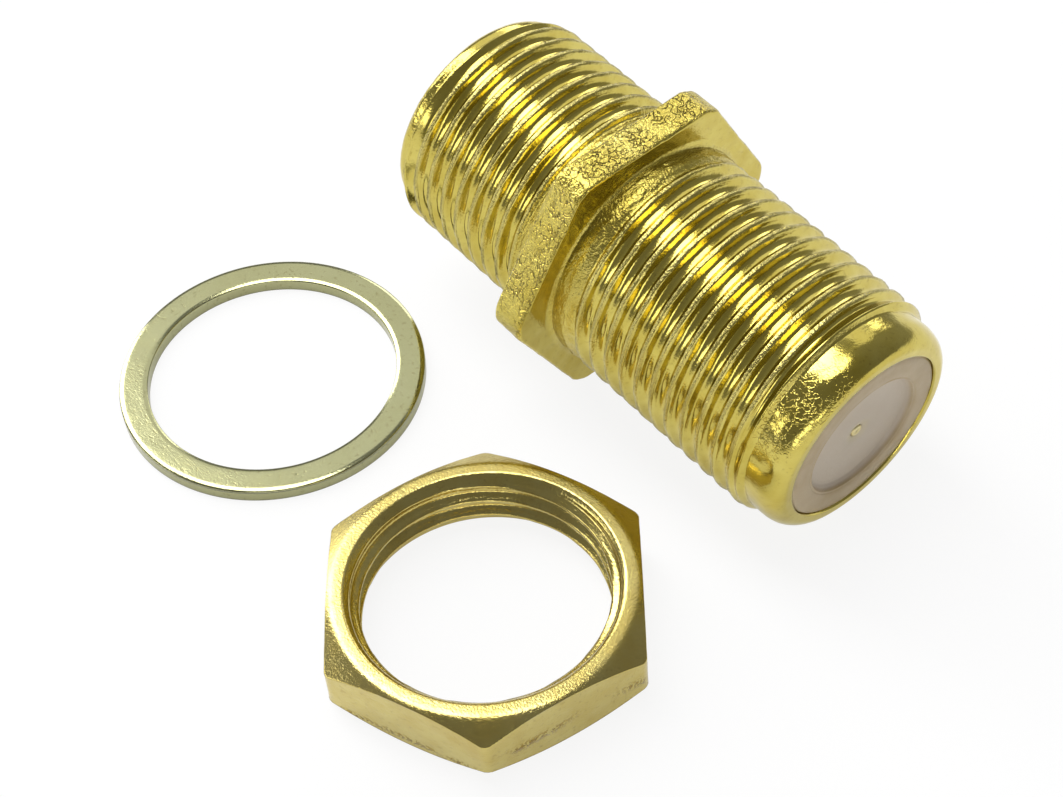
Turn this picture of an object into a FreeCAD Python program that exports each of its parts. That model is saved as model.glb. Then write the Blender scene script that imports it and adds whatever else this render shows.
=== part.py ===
import FreeCAD, Part
import math
import operator
import os

import Sketcher

# F connector coupler, in millimetres: a female to female threaded barrel with a hexagonal flange,
# and its panel nut and flat washer, which lie beside it.
# +X runs along the barrel seen from above, towards its long end. +Z is up, and Z = 0 is the surface
# that everything lies on. The origin is the middle of the ground that the three loose things cover.
# The barrel, its insulators and its contact share one axis. Along it, 0 is the middle of the flange,
# and the long end is positive.

SIZES = [
    # rolled threads, 32 to the inch
    ("thread_radius", 4.7),
    ("thread_depth", 0.36),
    ("thread_pitch", 0.79375),
    ("thread_crest", 0.2),
    ("thread_run_off", 0.1),
    ("long_plain_land", 1.0),
    ("short_plain_land", 0.9),
    # hexagonal flange, whose flats stand 0.855 over the thread: 11.11 across, which is 7/16 inch
    ("flange_rise", 0.855),
    ("flange_thickness", 1.44),
    ("flange_corner_cut", 0.19),
    ("flange_edge_break", 0.12),
    ("flange_root_flare", 0.22),
    # the two ends of the barrel, with their lengths from the flange's faces
    ("long_length", 11.43),
    ("short_length", 8.0),
    ("end_step", 0.3),
    ("end_taper", 0.22),
    ("long_end_land", 1.03),
    ("short_end_land", 0.2),
    ("lip_width", 0.85),
    ("lip_thickness", 0.45),
    ("long_lip_ring", 0.35),
    ("short_lip_ring", 0.45),
    # bore of the barrel
    ("pocket_undercut", 0.25),
    ("pocket_depth", 2.2),
    ("web_ledge", 0.8),
    # insulators
    ("insulator_clearance", 0.02),
    ("insulator_inset", 0.05),
    ("insulator_ring", 1.03),
    ("recess_depth", 0.27),
    ("pin_hole_radius", 0.5),
    ("pin_hole_length", 0.7),
    ("pin_funnel", 0.25),
    ("sleeve_wall", 0.96),
    ("sleeve_length", 3.4),
    # double ended contact
    ("contact_radius", 0.72),
    ("contact_wall", 0.25),
    ("socket_depth", 6.5),
    ("contact_clearance", 0.02),
    ("contact_end_play", 0.05),
    ("contact_mouth", 0.12),
    # seams of the moulded and rolled pieces, in degrees round from the barrel's lowest line
    ("seam_turn", 7.75),
    # panel nut, 11.11 across its flats like the flange
    ("nut_thread_clearance", 0.1),
    ("nut_thread_depth", 0.34),
    ("nut_wall", 0.755),
    ("nut_height", 2.62),
    ("nut_face_inset", 0.135),
    ("nut_chamfer", 0.6),
    ("nut_mouth_flare", 0.18),
    ("nut_mouth_depth", 0.42),
    # flat washer
    ("washer_clearance", 0.21),
    ("washer_width", 1.13),
    ("washer_thickness", 0.54),
    ("washer_edge_break", 0.08),
    # where the three loose things lie
    ("barrel_x", 0.83),
    ("barrel_y", 6.61),
    ("nut_x", 7.44),
    ("nut_y", -6.51),
    ("nut_turn", -9.9),
    ("washer_x", -7.42),
    ("washer_y", -5.16),
]

CORNER_PER_FLAT = 1 / math.sqrt(3)
QUARTER_TURN = 90
WHOLE_TURN = 360
SAME_PLACE = 1e-6

doc = FreeCAD.newDocument("f_connector_coupler")
sheet = doc.addObject("Spreadsheet::Sheet", "Sizes")
for row, (alias, number) in enumerate(SIZES, start=1):
    sheet.set(f"A{row}", alias)
    sheet.set(f"B{row}", str(number))
    sheet.setAlias(f"B{row}", alias)
doc.recompute()

SIGNS = {"+": operator.add, "-": operator.sub, "*": operator.mul, "/": operator.truediv}


class Size:
    """A length, a count or an angle in degrees: its value now and the expression that gives it."""

    def __init__(self, value, text):
        self.value = value
        self.text = text

    def __add__(self, other):
        return joined(self, "+", other)

    def __sub__(self, other):
        return joined(self, "-", other)

    def __mul__(self, other):
        return joined(self, "*", other)

    def __truediv__(self, other):
        return joined(self, "/", other)

    def __neg__(self):
        return joined(0, "-", self)


NOTHING = Size(0.0, "0")


def joined(left, sign, right):
    """Two sizes joined by a sign, where either may be a plain number."""
    left, right = [s if isinstance(s, Size) else Size(s, repr(s)) for s in (left, right)]
    value = SIGNS[sign](left.value, right.value)
    return Size(value, f"({left.text} {sign} {right.text})")


def size(alias):
    """The sheet's size of that name."""
    return Size(float(sheet.get(alias)), f"Sizes.{alias}")


def origin_feature(body, role):
    """One of the body's own origin planes or axes."""
    return next(f for f in body.Origin.OriginFeatures if f.Role == role)


def new_body(label):
    """An empty body whose label names its file."""
    body = doc.addObject("PartDesign::Body", label)
    body.Label = label
    return body


def attached_sketch(body, name, role):
    """A sketch on one of the body's own origin planes."""
    sketch = body.newObject("Sketcher::SketchObject", name)
    sketch.AttachmentSupport = (origin_feature(body, role), [""])
    sketch.MapMode = "FlatFace"
    return sketch


def bind(sketch, kind, reference, size_given):
    """One driving constraint, worked out from the sheet."""
    index = sketch.addConstraint(Sketcher.Constraint(kind, *reference, size_given.value))
    sketch.setExpression(f"Constraints[{index}]", size_given.text)


def arc_between(before, after, centre, radius):
    """An arc of a circle, and whether it runs from before to after against the clock."""
    start, end = [math.atan2(p.y - centre.y, p.x - centre.x) for p in (before, after)]
    turn = (end - start) % (2 * math.pi)
    forward = turn < math.pi
    if not forward:
        start, end = end, start
    circle = Part.Circle(centre, FreeCAD.Vector(0, 0, 1), radius)
    return Part.ArcOfCircle(circle, start, end), forward


def outline(body, name, role, corners):
    """A closed sketch through corners of (across, up), each pinned from the origin.

    A corner of (across, up, centre across, centre up, radius) is reached by an arc.
    """
    sketch = attached_sketch(body, name, role)
    points = [FreeCAD.Vector(c[0].value, c[1].value, 0) for c in corners]
    ends = []
    for here, corner in enumerate(corners):
        before, after = points[here - 1], points[here]
        if len(corner) == 2:
            geometry = sketch.addGeometry(Part.LineSegment(before, after))
            ends.append((geometry, 1, 2))
            continue
        centre = FreeCAD.Vector(corner[2].value, corner[3].value, 0)
        arc, forward = arc_between(before, after, centre, corner[4].value)
        geometry = sketch.addGeometry(arc)
        ends.append((geometry, 1, 2) if forward else (geometry, 2, 1))
    for here, corner in enumerate(corners):
        geometry, _, leaves = ends[here]
        following, enters, _ = ends[(here + 1) % len(corners)]
        joint = Sketcher.Constraint("Coincident", geometry, leaves, following, enters)
        sketch.addConstraint(joint)
        bind(sketch, "DistanceX", (-1, 1, geometry, leaves), corner[0])
        bind(sketch, "DistanceY", (-1, 1, geometry, leaves), corner[1])
        if len(corner) > 2:
            bind(sketch, "Radius", (geometry,), corner[4])
    return sketch


def add_circle(sketch, radius):
    """A circle about the sketch's origin."""
    circle = Part.Circle(FreeCAD.Vector(0, 0, 0), FreeCAD.Vector(0, 0, 1), radius.value)
    geometry = sketch.addGeometry(circle)
    sketch.addConstraint(Sketcher.Constraint("Coincident", geometry, 3, -1, 1))
    bind(sketch, "Radius", (geometry,), radius)


def revolved(body, name, kind, corners, seam=None):
    """A turned form, added or cut, from a section on the XZ plane or turned to its seam."""
    feature = body.newObject(f"PartDesign::{kind}", name)
    section = outline(body, f"{name}_section", "XZ_Plane", corners)
    if seam:
        section.AttachmentOffset.Rotation = FreeCAD.Rotation(FreeCAD.Vector(0, 1, 0), 1)
        section.setExpression("AttachmentOffset.Rotation.Angle", f"{seam.text} * 1 deg")
    feature.Profile = section
    feature.ReferenceAxis = (origin_feature(body, "Z_Axis"), [""])
    feature.Angle = WHOLE_TURN
    doc.recompute()
    return feature


def hexagon_corners(across_flats):
    """The corners of a hexagon with two flats square to X."""
    flat = across_flats / 2
    corner = across_flats * CORNER_PER_FLAT
    side = corner / 2
    return [
        (flat, -side),
        (flat, side),
        (NOTHING, corner),
        (-flat, side),
        (-flat, -side),
        (NOTHING, -corner),
    ]


def padded(body, name, sketch, length, midplane):
    """A straight extrusion of the sketch."""
    pad = body.newObject("PartDesign::Pad", name)
    pad.Profile = sketch
    pad.Midplane = midplane
    pad.setExpression("Length", length.text)
    doc.recompute()
    return pad


def thread_groove(body, name, crest, root, half_width, start, height):
    """A right-hand helical groove of V section, cut from crest to root over the height given."""
    depth = crest - root
    over = joined(size("thread_run_off"), "*", 1 if depth.value > 0 else -1)
    mouth = crest + over
    flare = half_width * (depth + over) / depth
    corners = [(mouth, start - flare), (root, start), (mouth, start + flare)]
    helix = body.newObject("PartDesign::SubtractiveHelix", name)
    helix.Profile = outline(body, f"{name}_section", "XZ_Plane", corners)
    helix.ReferenceAxis = (origin_feature(body, "Z_Axis"), [""])
    helix.Mode = "pitch-height-angle"
    helix.setExpression("Pitch", size("thread_pitch").text)
    helix.setExpression("Height", height.text)
    doc.recompute()
    return helix


def edges_where(feature, test):
    """The names of the feature's edges whose middle passes the test."""
    names = []
    for number, edge in enumerate(feature.Shape.Edges, start=1):
        middle = edge.valueAt((edge.FirstParameter + edge.LastParameter) / 2)
        if test(edge, middle):
            names.append(f"Edge{number}")
    return names


flat_radius = size("thread_radius") + size("flange_rise")
across_flats = flat_radius * 2
land_radius = size("thread_radius") - size("end_step")
opening_radius = land_radius - size("lip_width")
pocket_radius = opening_radius + size("pocket_undercut")
web_bore_radius = pocket_radius - size("web_ledge")

half_flange = size("flange_thickness") / 2
long_end = half_flange + size("long_length")
short_end = half_flange + size("short_length")
long_lip_round = size("lip_width") - size("long_lip_ring")
short_lip_round = size("lip_width") - size("short_lip_ring")
long_crest_end = long_end - long_lip_round - size("long_end_land") - size("end_taper")
short_crest_end = short_end - short_lip_round - size("short_end_land") - size("end_taper")
groove_half_width = (size("thread_pitch") - size("thread_crest")) / 2
thread_root = size("thread_radius") - size("thread_depth")

# At rest a flat of the flange and the last full crest of the long thread both touch the surface, so
# the axis dips towards the long end.
foot_station = half_flange - size("flange_edge_break")
slope = size("flange_rise") / (long_crest_end - foot_station)
tilt = Size(math.degrees(math.atan(slope.value)), f"atan({slope.text})")
tilt_cosine = Size(math.cos(math.radians(tilt.value)), f"cos({tilt.text})")
tilt_sine = Size(math.sin(math.radians(tilt.value)), f"sin({tilt.text})")
flange_height = flat_radius * tilt_cosine + foot_station * tilt_sine


def lay_on_axis(body, station, quarter_turns):
    """Puts a body on the barrel's axis, at a station from the flange's middle.

    One quarter turn faces its own +Z to the long end, and three face it to the short end.
    """
    angle = QUARTER_TURN * quarter_turns
    body.Placement.Rotation = FreeCAD.Rotation(FreeCAD.Vector(0, 1, 0), angle)
    body.setExpression("Placement.Rotation.Angle", f"{angle} deg + {tilt.text}")
    body.setExpression("Placement.Base.x", (size("barrel_x") + station * tilt_cosine).text)
    body.setExpression("Placement.Base.y", size("barrel_y").text)
    body.setExpression("Placement.Base.z", (flange_height - station * tilt_sine).text)


# Barrel: one turned piece, with a thread each way from its flange and a lip rolled in at each end.
barrel = new_body("barrel")
bore_step = size("lip_thickness") + size("pocket_depth")
flare_radius = size("thread_radius") + size("flange_root_flare")


def end_corners(end, crest_end, lip_round, side):
    """The barrel's section from the flange out to one end and back in to its bore."""
    land_end = (end - lip_round) * side
    taper_end = (crest_end + size("end_taper")) * side
    ring_radius = land_radius - lip_round
    root = size("flange_root_flare")
    return [
        (flare_radius, half_flange * side),
        (size("thread_radius"), (half_flange + root) * side),
        (size("thread_radius"), crest_end * side),
        (land_radius, taper_end),
        (land_radius, land_end),
        (ring_radius, end * side, ring_radius, land_end, lip_round),
        (opening_radius, end * side),
        (opening_radius, (end - size("lip_thickness")) * side),
        (pocket_radius, (end - size("lip_thickness")) * side),
        (pocket_radius, (end - bore_step) * side),
        (web_bore_radius, (end - bore_step) * side),
    ]


def reversed_corners(corners):
    """The same outline walked the other way, with each arc on the corner it then reaches."""
    turned = []
    for here in range(len(corners) - 1, -1, -1):
        arc = corners[here + 1][2:] if here + 1 < len(corners) else ()
        turned.append(corners[here][:2] + arc)
    return turned


long_corners = end_corners(long_end, long_crest_end, long_lip_round, 1)
short_corners = reversed_corners(end_corners(short_end, short_crest_end, short_lip_round, -1))
revolved(barrel, "turned_blank", "Revolution", long_corners + short_corners)

flange_sketch = outline(barrel, "flange_section", "XY_Plane", hexagon_corners(across_flats))
add_circle(flange_sketch, (web_bore_radius + size("thread_radius")) / 2)
flange = padded(barrel, "hexagonal_flange", flange_sketch, size("flange_thickness"), True)

flange_corner = across_flats * CORNER_PER_FLAT
blunt_radius = flange_corner - size("flange_corner_cut")
corner_reach = flange_corner + size("flange_edge_break")
blunting = [
    (blunt_radius, -size("flange_thickness")),
    (corner_reach, -size("flange_thickness")),
    (corner_reach, size("flange_thickness")),
    (blunt_radius, size("flange_thickness")),
]
blunted = revolved(barrel, "blunted_corners", "Groove", blunting)


def on_flange_rim(edge, middle):
    """True for the flange's outer edges, which lie in its two faces."""
    beyond_flare = math.hypot(middle.x, middle.y) > flare_radius.value + size("flange_edge_break").value
    in_face = math.isclose(abs(middle.z), half_flange.value, abs_tol=SAME_PLACE)
    flat = math.isclose(edge.BoundBox.ZLength, 0, abs_tol=SAME_PLACE)
    return beyond_flare and in_face and flat


broken = barrel.newObject("PartDesign::Chamfer", "broken_flange_edges")
broken.Base = (blunted, edges_where(blunted, on_flange_rim))
broken.setExpression("Size", size("flange_edge_break").text)
doc.recompute()

long_start = half_flange + size("long_plain_land")
thread_groove(
    barrel,
    "long_thread",
    size("thread_radius"),
    thread_root,
    groove_half_width,
    long_start,
    long_crest_end - long_start,
)
short_start = half_flange + size("short_plain_land")
thread_groove(
    barrel,
    "short_thread",
    size("thread_radius"),
    thread_root,
    groove_half_width,
    -short_crest_end,
    short_crest_end - short_start,
)
lay_on_axis(barrel, NOTHING, 1)

# Insulators: one moulding, used at each end. Its rim is trapped behind the rolled lip, and its
# sleeve carries the contact. Its own +Z points out of the coupler, and 0 is the lip's outer plane.
pocket_floor = -bore_step
sleeve_floor = pocket_floor - size("sleeve_length")
rim_radius = pocket_radius - size("insulator_clearance")
boss_radius = opening_radius - size("insulator_clearance")
recess_radius = boss_radius - size("insulator_ring")
face = -size("insulator_inset")
recess_floor = face - size("recess_depth")
front_wall = recess_floor - size("pin_hole_length")
sleeve_bore = size("contact_radius") + size("contact_clearance")
sleeve_radius = sleeve_bore + size("sleeve_wall")


def make_insulator(label, station, quarter_turns):
    """One insulator, facing out of the end at that station."""
    body = new_body(label)
    section = [
        (boss_radius, -size("lip_thickness")),
        (boss_radius, face),
        (recess_radius, face),
        (recess_radius, recess_floor),
        (size("pin_hole_radius") + size("pin_funnel"), recess_floor),
        (size("pin_hole_radius"), recess_floor - size("pin_funnel")),
        (size("pin_hole_radius"), front_wall),
        (sleeve_bore, front_wall),
        (sleeve_bore, sleeve_floor),
        (sleeve_radius, sleeve_floor),
        (sleeve_radius, pocket_floor),
        (rim_radius, pocket_floor),
        (rim_radius, -size("lip_thickness")),
    ]
    revolved(body, f"{label}_moulding", "Revolution", section, size("seam_turn"))
    lay_on_axis(body, station, quarter_turns)
    return body


# Contact: a pin with a socket in each end, trapped between the front walls of the two insulators.
def make_contact():
    """The double-ended contact, with its +Z towards the long end."""
    body = new_body("centre_contact")
    long_tip = long_end + front_wall - size("contact_end_play")
    short_tip = -(short_end + front_wall - size("contact_end_play"))
    inner = size("contact_radius") - size("contact_wall")
    mouth = inner + size("contact_mouth")
    section = [
        (NOTHING, short_tip + size("socket_depth")),
        (inner, short_tip + size("socket_depth")),
        (inner, short_tip + size("contact_mouth")),
        (mouth, short_tip),
        (size("contact_radius"), short_tip),
        (size("contact_radius"), long_tip),
        (mouth, long_tip),
        (inner, long_tip - size("contact_mouth")),
        (inner, long_tip - size("socket_depth")),
        (NOTHING, long_tip - size("socket_depth")),
    ]
    revolved(body, "contact_tube", "Revolution", section, size("seam_turn"))
    lay_on_axis(body, NOTHING, 1)
    return body


# Panel nut: a hexagon with both faces turned to a cone, and a countersunk threaded hole.
def make_panel_nut():
    """The nut, standing on its lower face."""
    body = new_body("panel_nut")
    height = size("nut_height")
    root = size("thread_radius") + size("nut_thread_clearance")
    crest = root - size("nut_thread_depth")
    mouth = root + size("nut_mouth_flare")
    flats = (root + size("nut_wall")) * 2
    face_radius = root + size("nut_wall") - size("nut_face_inset")
    corner = flats * CORNER_PER_FLAT
    sketch = outline(body, "hexagon_section", "XY_Plane", hexagon_corners(flats))
    padded(body, "hexagon", sketch, height, False)
    hole = [
        (NOTHING, NOTHING),
        (mouth, NOTHING),
        (crest, size("nut_mouth_depth")),
        (crest, height - size("nut_mouth_depth")),
        (mouth, height),
        (NOTHING, height),
    ]
    revolved(body, "countersunk_hole", "Groove", hole)
    beyond = corner + corner - face_radius
    drop = size("nut_chamfer") * 2
    for name, level, side in (("lower_cone", NOTHING, 1), ("upper_cone", height, -1)):
        cone = [
            (face_radius, level),
            (beyond, level + drop * side),
            (beyond, level - drop * side),
            (face_radius, level - drop * side),
        ]
        revolved(body, name, "Groove", cone)
    thread_groove(
        body,
        "nut_thread",
        crest,
        root,
        groove_half_width,
        -size("thread_pitch"),
        size("thread_pitch") + height + size("thread_pitch"),
    )
    body.Placement.Rotation = FreeCAD.Rotation(FreeCAD.Vector(0, 0, 1), 1)
    body.setExpression("Placement.Rotation.Angle", f"{size('nut_turn').text} * 1 deg")
    body.setExpression("Placement.Base.x", size("nut_x").text)
    body.setExpression("Placement.Base.y", size("nut_y").text)
    return body


# Washer: a punched ring, with its upper edges broken by the punch.
def make_washer():
    """The flat washer, lying with its broken edges up."""
    body = new_body("flat_washer")
    sketch = attached_sketch(body, "ring_section", "XY_Plane")
    bore = size("thread_radius") + size("washer_clearance")
    add_circle(sketch, bore + size("washer_width"))
    add_circle(sketch, bore)
    ring = padded(body, "ring", sketch, size("washer_thickness"), False)
    level = size("washer_thickness").value

    def on_top(edge, middle):
        return math.isclose(middle.z, level, abs_tol=SAME_PLACE) and len(edge.Vertexes) == 1

    edges = body.newObject("PartDesign::Chamfer", "punched_edges")
    edges.Base = (ring, edges_where(ring, on_top))
    edges.setExpression("Size", size("washer_edge_break").text)
    doc.recompute()
    body.setExpression("Placement.Base.x", size("washer_x").text)
    body.setExpression("Placement.Base.y", size("washer_y").text)
    return body


near_insulator = make_insulator("near_insulator", long_end, 1)
far_insulator = make_insulator("far_insulator", -short_end, 3)
sub_parts = [barrel, near_insulator, far_insulator, make_contact(), make_panel_nut(), make_washer()]
doc.recompute()

for item in doc.Objects:
    if "Invalid" in item.State or "Error" in item.State:
        raise RuntimeError(f"{item.Label} did not build: {item.getStatusString()}")
os.makedirs("parts", exist_ok=True)
for part in sub_parts:
    shape = part.Shape
    if shape.isNull() or not shape.isValid() or len(shape.Solids) != 1:
        raise RuntimeError(f"{part.Label} is not one valid solid")
    shape.exportStep(f"parts/{part.Label}.step")
    print(f"{part.Label}: {shape.Volume:.2f} mm3, {len(shape.Faces)} faces")
print(f"tilt {tilt.value:.2f} degrees, flange centre {flange_height.value:.3f} mm up")
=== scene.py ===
import math

import bpy
import numpy as np
from mathutils import Matrix, Vector


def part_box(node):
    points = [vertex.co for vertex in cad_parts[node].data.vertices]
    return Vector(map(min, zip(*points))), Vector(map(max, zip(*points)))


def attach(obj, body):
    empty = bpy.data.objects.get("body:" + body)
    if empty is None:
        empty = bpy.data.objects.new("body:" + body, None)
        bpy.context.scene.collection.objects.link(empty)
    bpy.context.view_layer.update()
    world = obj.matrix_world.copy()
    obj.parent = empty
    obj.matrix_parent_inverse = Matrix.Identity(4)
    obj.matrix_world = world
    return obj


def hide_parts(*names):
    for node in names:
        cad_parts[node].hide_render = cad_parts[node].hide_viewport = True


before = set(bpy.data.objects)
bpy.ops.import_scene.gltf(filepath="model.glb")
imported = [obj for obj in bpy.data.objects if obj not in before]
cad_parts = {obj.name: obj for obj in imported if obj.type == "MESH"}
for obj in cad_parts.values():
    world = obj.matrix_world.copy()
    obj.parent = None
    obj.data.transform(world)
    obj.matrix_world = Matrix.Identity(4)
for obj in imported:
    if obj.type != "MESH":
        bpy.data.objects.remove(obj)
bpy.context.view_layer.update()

# Barrel: one piece of brass, turned from 7/16 inch hexagon bar and plated in a thin, bright gold colour.
# Both threads are rolled, which leaves wide smooth roots and narrow rough crests, and each end is rolled
# in over its insulator.

MM = 0.001
TURN = 2 * math.pi

# Sizes are in millimetres. Those along the axis start at the flange's middle, with the long end positive.
ACROSS_FLATS = 11.11
FLANGE_HALF = 0.72
FLANGE_CORNER = 6.22
FLANGE_EDGE = 0.12
ROOT_FLARE = 0.22
THREAD_RADIUS = 4.7
THREAD_DEPTH = 0.36
THREAD_PITCH = 0.79375
THREAD_CREST = 0.13
CREST_FADE = (-0.05, 0.01)
SEAM_SHARE = 0.03
LONG_END = 12.15
SHORT_END = -8.72
LONG_LIP_ROUND = 0.62
LONG_LIP_REACH = 0.95
LONG_LAND = 0.58
SHORT_LIP_ROUND = 0.4
SHORT_LIP_REACH = 0.4
SHORT_LAND = 0.2
END_TAPER = 0.22
LAND_RADIUS = 4.4
OPENING_RADIUS = 3.55
LIP_THICKNESS = 0.45
POCKET_RADIUS = 3.8
POCKET_DEPTH = 2.2
WEB_BORE = 3.0
OUTSIDE_RADIUS = 3.9
LONG_THREAD_START = 1.72
SHORT_THREAD_START = -1.62
# Each thread has a root here at the angle 0.
LONG_ROOT = 0.495
SHORT_ROOT = 0.72
# The surface is a grid, with rows this far apart on the threads and this many columns round the axis.
ROW_SPACING = 0.05
COLUMNS = 192

# The barrel rests on a flat of the flange and on the last crest of the long thread, which tilts its axis.
FOOT = FLANGE_HALF - FLANGE_EDGE
LONG_CREST_END = LONG_END - LONG_LIP_REACH - LONG_LAND - END_TAPER
SHORT_CREST_END = SHORT_END + SHORT_LIP_REACH + SHORT_LAND + END_TAPER
TILT = math.atan((ACROSS_FLATS / 2 - THREAD_RADIUS) / (LONG_CREST_END - FOOT))
AXIS_X = 0.83
AXIS_Y = 6.61
AXIS_Z = ACROSS_FLATS / 2 * math.cos(TILT) + FOOT * math.sin(TILT)

along = np.array([math.cos(TILT), 0, -math.sin(TILT)])
across = np.array([0.0, 1.0, 0.0])
upward = np.array([math.sin(TILT), 0, math.cos(TILT)])
flange_middle = np.array([AXIS_X, AXIS_Y, AXIS_Z])


def on_axis(station, radius, angle):
    """Points about the barrel's axis: its middle, plus station along it, plus radius at that angle.

    The angle is 0 towards +Y and a quarter turn at the top.
    """
    station, radius, angle = np.broadcast_arrays(station, radius, angle)
    out = np.cos(angle)[..., None] * across + np.sin(angle)[..., None] * upward
    return flange_middle + station[..., None] * along + radius[..., None] * out


def smooth_step(low, high, value):
    """0 below low and 1 above high, with 3t^2 - 2t^3 between them."""
    t = np.clip((value - low) / (high - low), 0, 1)
    return t * t * (3 - 2 * t)


def fade(start, stretch, value):
    """smooth_step from start plus the stretch's first value to start plus its second."""
    return smooth_step(start + stretch[0], start + stretch[1], value)


def noise(points, cell, seed):
    """Smooth noise between -1 and 1: random values on a lattice, blended by 3t^2 - 2t^3 along each axis."""
    table = np.random.default_rng(seed).uniform(-1, 1, (32, 32, 32))
    place = points / cell
    corner = np.floor(place).astype(int)
    blend = smooth_step(0, 1, place - corner)
    total = np.zeros(points.shape[:-1])
    for step in np.ndindex(2, 2, 2):
        share = np.where(np.array(step) == 1, blend, 1 - blend).prod(axis=-1)
        x, y, z = np.moveaxis((corner + step) % 32, -1, 0)
        total += share * table[x, y, z]
    return total


def hexagon(angle, across_flats, corner_radius):
    """Distance from the middle to a hexagon with a flat on top, cut off by a circle at its corners."""
    from_flat = (angle - TURN / 4 + TURN / 12) % (TURN / 6) - TURN / 12
    return np.minimum(across_flats / 2 / np.cos(from_flat), corner_radius)


def steps(start, end, spacing):
    """Evenly spaced values from start up to, and without, end."""
    return np.linspace(start, end, max(int(round(abs(end - start) / spacing)), 1), endpoint=False)


def surface(name, points, masks):
    """A closed mesh from a grid of points whose rows and columns both join up, last to first.

    Each mask becomes an attribute of the same name.
    """
    rows, columns = points.shape[:2]
    index = np.arange(rows * columns).reshape(rows, columns)
    below, after = np.roll(index, -1, axis=0), np.roll(index, -1, axis=1)
    both = np.roll(below, -1, axis=1)
    quads = np.stack([index, after, both, below], axis=-1).reshape(-1, 4)
    mesh = bpy.data.meshes.new(name)
    mesh.vertices.add(rows * columns)
    mesh.vertices.foreach_set("co", (points * MM).astype(np.float32).ravel())
    mesh.loops.add(quads.size)
    mesh.loops.foreach_set("vertex_index", quads.astype(np.int32).ravel())
    mesh.polygons.add(len(quads))
    mesh.polygons.foreach_set("loop_start", np.arange(0, quads.size, 4, dtype=np.int32))
    mesh.polygons.foreach_set("use_smooth", np.ones(len(quads), dtype=bool))
    mesh.update()
    mesh.validate()
    for title, mask in masks.items():
        values = np.broadcast_to(mask, (rows, columns)).astype(np.float32)
        mesh.attributes.new(title, "FLOAT", "POINT").data.foreach_set("value", values.ravel())
    piece = bpy.data.objects.new(name, mesh)
    bpy.context.scene.collection.objects.link(piece)
    return piece


def end_rows(end, lip_round, lip_reach, land, thread_end, side):
    """The outline's rows from inside one end, out over its lip and back to the flange's face.

    Each row is a station, a radius and the share of the hexagon that is added to it.
    """
    rows = []
    floor = end - side * (LIP_THICKNESS + POCKET_DEPTH)
    behind_lip = end - side * LIP_THICKNESS
    rows += [(floor, r, 0) for r in steps(WEB_BORE, POCKET_RADIUS, spacing=0.4)]
    rows += [(s, POCKET_RADIUS, 0) for s in steps(floor, behind_lip, spacing=0.8)]
    rows += [(behind_lip, r, 0) for r in steps(POCKET_RADIUS, OPENING_RADIUS, spacing=0.15)]
    rows += [(s, OPENING_RADIUS, 0) for s in steps(behind_lip, end, spacing=0.15)]
    ring_radius = LAND_RADIUS - lip_round
    rows += [(end, r, 0) for r in steps(OPENING_RADIUS, ring_radius, spacing=0.06)]
    lip_middle = end - side * lip_reach
    rows += [
        (lip_middle + side * lip_reach * math.cos(t), ring_radius + lip_round * math.sin(t), 0)
        for t in steps(0, TURN / 4, spacing=0.06)
    ]
    taper_start = lip_middle - side * land
    rows += [(s, LAND_RADIUS, 0) for s in steps(lip_middle, taper_start, ROW_SPACING)]
    rows += [
        (taper_start - side * END_TAPER * f, LAND_RADIUS + (THREAD_RADIUS - LAND_RADIUS) * f, 0)
        for f in steps(0, 1, spacing=0.2)
    ]
    face = side * FLANGE_HALF
    flare_start = face + side * ROOT_FLARE
    rows += [(s, THREAD_RADIUS, 0) for s in steps(thread_end, flare_start, ROW_SPACING)]
    rows += [
        (flare_start - side * ROOT_FLARE * (1 - math.cos(t)), THREAD_RADIUS + ROOT_FLARE * math.sin(t), 0)
        for t in steps(0, TURN / 4, spacing=0.3)
    ]
    flare = THREAD_RADIUS + ROOT_FLARE
    rows += [(face, flare * (1 - f) - FLANGE_EDGE * f, f) for f in steps(0, 1, spacing=0.08)]
    return rows


def flange_edge_rows(side):
    """The rounded edge between one face of the flange and its flats."""
    middle = side * (FLANGE_HALF - FLANGE_EDGE)
    return [
        (middle + side * FLANGE_EDGE * math.cos(t), FLANGE_EDGE * (math.sin(t) - 1), 1)
        for t in steps(0, TURN / 4, spacing=0.4)
    ]


def groove(turns):
    """How deep each place on a rolled thread lies, and how near it is to a crest and to the crest's seam.

    The depth is 1 less the cube of the way from a root's middle to its edge, and the seam is a bell curve
    about the crest's middle. All three run from 0 to 1, and the ways are shares of a turn.
    """
    from_root = np.abs((turns + 0.5) % 1 - 0.5)
    half_root = (1 - THREAD_CREST / THREAD_PITCH) / 2
    root = np.clip(1 - (from_root / half_root) ** 3, 0, 1)
    crest = fade(half_root, CREST_FADE, from_root)
    seam = np.exp(-(((0.5 - from_root) / SEAM_SHARE) ** 2))
    return root, crest, seam


# How far the grooves wander from a true helix, over long and over short stretches.
WANDER = 0.018
FINE_WANDER = 0.006
# The grooves fade in and out, and the pebbles, lands and bruised edges begin or end, over these stretches:
# before and after the thread's start, its last crest and the flange's face.
RUN_IN = (-0.45, 0.5)
RUN_OUT = (-0.5, 0.3)
PEBBLE_FADE = (-0.2, 0.5)
LAND_FADE = (-0.1, 0.25)
EDGE_FADE = (-0.3, -0.05)
FLAT_MARGIN = 0.02
# The lands are wrinkled on one side only, and the wrinkles fade in and out over these angles.
WRINKLES_IN = (1.65, 2.05)
WRINKLES_OUT = (2.85, 2.55)
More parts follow.
